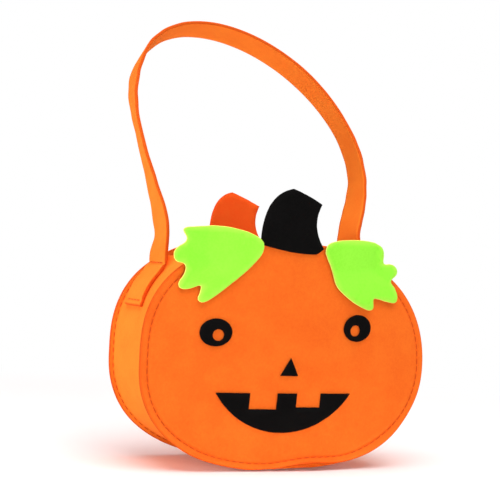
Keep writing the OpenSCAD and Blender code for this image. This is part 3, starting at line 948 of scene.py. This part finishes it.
def leafFace(one):
    root = stem["x"] + one["side"] * stem["width"] / 2

    def stands(x, z):
        out = one["side"] * (x - root)
        low = clamp((leaf["rootZ"] - z) / leaf["drop"])
        atTip, atFoot = leaf["curlShares"]
        curl = leaf["lift"] * (atTip * ease(out / one["length"]) + atFoot * low)
        curl *= 1 + leaf["curlWave"] * wobble(x / leaf["waveSize"], 0, z / leaf["waveSize"], 6)
        over = stem["felt"] * ease((leaf["overStem"] - out) / leaf["overStem"])
        return panelFace(x, z, frontSeam) + leaf["gap"] + curl + over

    return stands


leftLeaf, rightLeaf = [
    cutFelt(side + "LeafFelt", leafOutline(leaf[side]), leaf["felt"], leafFace(leaf[side]), -1, limeFelt,
            "lime_felt", side + "_leaf") for side in ("left", "right")]
print("leaves made")


# Face: eyes, nose and mouth cut from black felt and glued on

face = {
    "felt": 1.2, "gap": 0.08, "x": -4.0,
    "eyeGap": 98.0, "eyeZ": (88.0, 93.0), "eyeSize": (21.0, 17.5), "pupil": 7.3, "pupilShift": 1.6,
    "nose": ((-8.0, 61.5), (4.7, 61.5), (-1.6, 73.2)),
    "mouthX": -3.2, "mouthWidth": 94.0, "mouthDrop": 25.6, "mouthZ": 50.2,
    "teeth": ((-27.1, -8.4, 10.3), (5.2, 22.1, 9.0)),  # from, to and depth of each gap between the teeth
    "arcSteps": 44, "eyeSteps": 56, "pupilSteps": 30, "eyeSpacing": 2.2, "noseSpacing": 2.0, "noseStep": 1.1,
    "mouthStep": 1.3,
}


def faceFelt(name, outline, node, **more):
    def innerAt(x, z):
        return panelFace(x, z, frontSeam) + face["gap"]

    return cutFelt(name, outline, face["felt"], innerAt, -1, blackFelt, "black_felt", node, **more)


def ellipse(cx, cz, w, h, steps):
    return [(cx + w / 2 * math.cos(2 * math.pi * i / steps), cz + h / 2 * math.sin(2 * math.pi * i / steps))
            for i in range(steps)]


def mouthOutline():
    half, drop, top = face["mouthWidth"] / 2, face["mouthDrop"], face["mouthZ"]
    radius = (half ** 2 + drop ** 2) / (2 * drop)
    spread = math.asin(half / radius)
    n = face["arcSteps"]
    turns = [spread * i / n for i in range(-n, n + 1)]
    arc = [(face["mouthX"] + radius * math.sin(t), top - drop + radius * (1 - math.cos(t))) for t in turns]
    upper = [arc[-1]]
    for low, high, deep in reversed(face["teeth"]):
        upper += [(high, top), (high, top - deep), (low, top - deep), (low, top)]
    upper.append(arc[0])
    return counterClockwise(arc[:-1] + alongSides(upper, face["mouthStep"], closed=False))


for side, z, label in ((-1, face["eyeZ"][0], "left"), (1, face["eyeZ"][1], "right")):
    x = face["x"] + side * face["eyeGap"] / 2
    pupil, shift = face["pupil"], face["pupilShift"]
    hole = ellipse(x - side * shift, z - shift, pupil, pupil, face["pupilSteps"])
    rim = ellipse(x, z, *face["eyeSize"], face["eyeSteps"])
    faceFelt(label + "EyeFelt", rim, label + "_eye", hole=hole, spacing=face["eyeSpacing"])
noseOutline = alongSides(counterClockwise(list(face["nose"])), face["noseStep"])
nosePiece = faceFelt("noseFelt", noseOutline, "nose", spacing=face["noseSpacing"])
mouthPiece = faceFelt("mouthFelt", mouthOutline(), "mouth")
print("face made")


# Stitches: short lengths of thread that dip into the felt at both ends

def addStitch(points, faces, middle, along, out, length, thick):
    side = along.cross(out).normalized()
    sides, steps = stitch["sides"], stitch["steps"]
    start = len(points)
    for k in range(steps + 1):
        t = 2 * k / steps - 1
        rise = 0.5 * thick * (1 - t ** 4) - stitch["sunk"] * thick
        radius = thick / 2 * (1 - stitch["taper"] * t ** 6)
        centre = middle + along * (t * length / 2) + out * rise
        for j in range(sides):
            a = 2 * math.pi * j / sides
            lobe = radius * (1 + stitch["ply"] * math.cos(2 * a - stitch["plyTurn"] * t))  # two twisted plies
            p = centre + (side * math.cos(a) + out * math.sin(a)) * lobe
            points.append(tuple(p))
    rows = [[start + k * sides + j for j in range(sides)] for k in range(steps + 1)]
    for a, b in zip(rows, rows[1:]):
        faces.extend(ringFaces(a, b))
    faces.append(tuple(rows[0]))
    faces.append(tuple(rows[-1]))


def seamStitches(name, seam, node):
    points, faces = [], []
    inset, side = seam["stitch"], seam["side"]
    for i in range(seam["count"]):
        a = seamAngleAt(seam, seam["run"][-1] * (i + 0.5) / seam["count"])
        (x, z), (x0, z0), (x1, z1) = (outlineAt(b, inset, side * wallHalf) for b in (a, a - 0.01, a + 0.01))
        along = Vector((x1 - x0, 0, z1 - z0)).normalized()
        wave = lipWaveAt(a, inset, seam)
        outer = panelFace(x, z, seam) + wave - grooveAt(seam, a, inset)
        behind = wallHalf + wave + bellAt(z, seam)
        if seam is frontSeam:
            z += frontLiftAt(x, z)
        for y, out in ((outer, 1), (behind, -1)):  # both faces of the seam
            addStitch(points, faces, Vector((x, side * y, z)), along, Vector((0, side * out, 0)),
                      stitch["length"], stitch["thick"])
    return addPiece(name, points, faces, shadedOrangeThread, replaced=[node])


def strapStitches(name, leg, node):
    points, faces = [], []
    count = int((strap["width"] - stitch["length"] / 2) / stitch["pitch"])
    across = Vector((leg["side"] * strap["flare"], 1, 0)).normalized()
    near = stitch["slopeOver"]
    for row, _ in strap["rows"]:
        up = (sewnStrap(leg, row + near) - sewnStrap(leg, row - near)).normalized()
        out = across.cross(up).normalized() * leg["side"]
        middle = sewnStrap(leg, row) + out * (strap["felt"] / 2 - stitch["strapSink"])
        for i in range(count):
            place = middle + across * ((i - (count - 1) / 2) * stitch["pitch"])
            addStitch(points, faces, place, across, out, stitch["length"], stitch["thick"])
    return addPiece(name, points, faces, shadedOrangeThread, replaced=[node])


frontStitches = seamStitches("frontSeamStitches", frontSeam, "front_seam_thread")
backStitches = seamStitches("backSeamStitches", backSeam, "back_seam_thread")
strapStitchRows = [strapStitches("leftStrapStitches", strap["left"], "left_strap_thread"),
                   strapStitches("rightStrapStitches", strap["right"], "right_strap_thread")]
print("stitches made")
# Camera at the photograph's view: level, turned to the left, and rolled a little

view = {"place": (-357.2, -804.3, 140.3), "turn": 23.0, "roll": 3.0, "lens": 95.2, "frame": 36.0}


def makeCamera():
    turn, roll = math.radians(view["turn"]), math.radians(view["roll"])
    ahead = Vector((math.sin(turn), math.cos(turn), 0))
    right = Vector((math.cos(turn), -math.sin(turn), 0))
    up = Vector((0, 0, 1))
    right, up = right * math.cos(roll) + up * math.sin(roll), up * math.cos(roll) - right * math.sin(roll)
    data = bpy.data.cameras.new("photoView")
    data.lens, data.sensor_width = view["lens"], view["frame"]
    camera = bpy.data.objects.new("photoView", data)
    scene.collection.objects.link(camera)
    turned = Matrix((right, up, -ahead)).transposed().to_4x4()
    camera.matrix_world = Matrix.Translation(Vector(view["place"]) * mm) @ turned
    scene.camera = camera


makeCamera()


# Pale floor, white surroundings and soft studio lamps

lamps = {
    "left": {"place": (-0.6, 0.0, 0.1), "aim": (-0.05, 0.03, 0.15), "size": 0.3, "watts": 2.13},
    "top": {"place": (0.0, -0.4, 1.5), "aim": (0, -0.2, 0), "size": 1.8, "watts": 33.0},
    "high": {"place": (0.1, -1.0, 1.1), "aim": (0, 0, 0.15), "size": 0.8, "watts": 1.6},
    "front": {"place": (0.0, -0.9, 0.12), "aim": (0, 0, 0.2), "size": 0.5, "watts": 1.7},
    "back": {"place": (0.8, 1.0, 0.7), "aim": (0, 0, 0.12), "size": 0.9, "watts": 2.4},
    # a weak fill along the front's lower edge
    "low": {"place": (0.0, -0.33, 0.015), "aim": (0, 0, -0.06), "size": 0.16, "watts": 0.026, "spread": 24.0},
}
surround = 0.132  # strength of the white all around
floor = {
    "half": 4.0, "shade": 0.9, "fade": (0.25, 0.6),  # metres from the bag over which it runs out to white
    "paintedGlow": (1.0, 0.3, 0.24), "paintedGlowLevel": 0.14,  # a painted warm glow, seen only by the camera, standing in for the light that the felt throws into its shadow
}


def makeLamps():
    for name, lamp in lamps.items():
        data = bpy.data.lights.new(name, "AREA")
        data.size, data.energy = lamp["size"], lamp["watts"]
        data.spread = math.radians(lamp.get("spread", 180.0))
        holder = bpy.data.objects.new(name, data)
        scene.collection.objects.link(holder)
        holder.location = lamp["place"]
        holder.visible_camera = False
        aim = Vector(lamp["aim"]) - Vector(lamp["place"])
        holder.rotation_mode = "QUATERNION"
        holder.rotation_quaternion = aim.to_track_quat("-Z", "Y")


def makeWorld():
    world = bpy.data.worlds.new("studio")
    scene.world = world
    world.use_nodes = True
    world.node_tree.nodes.clear()
    wire = Wire(world.node_tree)
    seen = sightRays(wire)
    soft = wire.node("Background", None, {"Color": (1, 1, 1, 1), "Strength": surround})
    white = wire.node("Background", None, {"Color": (1, 1, 1, 1), "Strength": 1.0})
    shader = wire.node("MixShader", None, {0: seen, 1: soft, 2: white})
    out = world.node_tree.nodes.new("ShaderNodeOutputWorld")
    world.node_tree.links.new(shader.socket, out.inputs["Surface"])


def sightRays(wire):  # 1 for rays that show the surroundings directly or by gloss
    rays = [wire.node("LightPath", out=name) for name in
            ("Is Camera Ray", "Is Glossy Ray", "Is Transmission Ray")]
    return wire.math("MAXIMUM", wire.math("MAXIMUM", rays[0], rays[1]), rays[2])


def makeFloor():
    made, wire = newMaterial("pale studio floor")
    matt = wire.node("BsdfDiffuse", None, {"Color": (floor["shade"], floor["shade"], floor["shade"], 1)})
    paintedGlow = wire.node("Emission", None, {"Color": (*floor["paintedGlow"], 1), "Strength": floor["paintedGlowLevel"]})
    mattWithPaintedGlow = wire.node("AddShader", None, {0: matt, 1: paintedGlow})
    white = wire.node("Emission", None, {"Color": (1, 1, 1, 1), "Strength": 1.0})
    place = wire.node("TexCoord", out=3)
    away = wire.node("VectorMath", {"operation": "LENGTH"}, {0: place}, out=1)
    seen = wire.node("MixShader", None, {0: away.smooth(*floor["fade"]), 1: mattWithPaintedGlow, 2: white})
    finishMaterial(wire, wire.node("MixShader", None, {0: sightRays(wire), 1: matt, 2: seen}))
    mesh = bpy.data.meshes.new("studioFloor")
    s = floor["half"]
    mesh.from_pydata([(-s, -s, 0), (s, -s, 0), (s, s, 0), (-s, s, 0)], [], [(0, 1, 2, 3)])
    mesh.materials.append(made)
    ground = bpy.data.objects.new("studioFloor", mesh)
    scene.collection.objects.link(ground)


makeLamps()
makeWorld()
makeFloor()
scene.view_settings.view_transform = "Standard"
print("camera, lamps and floor made")
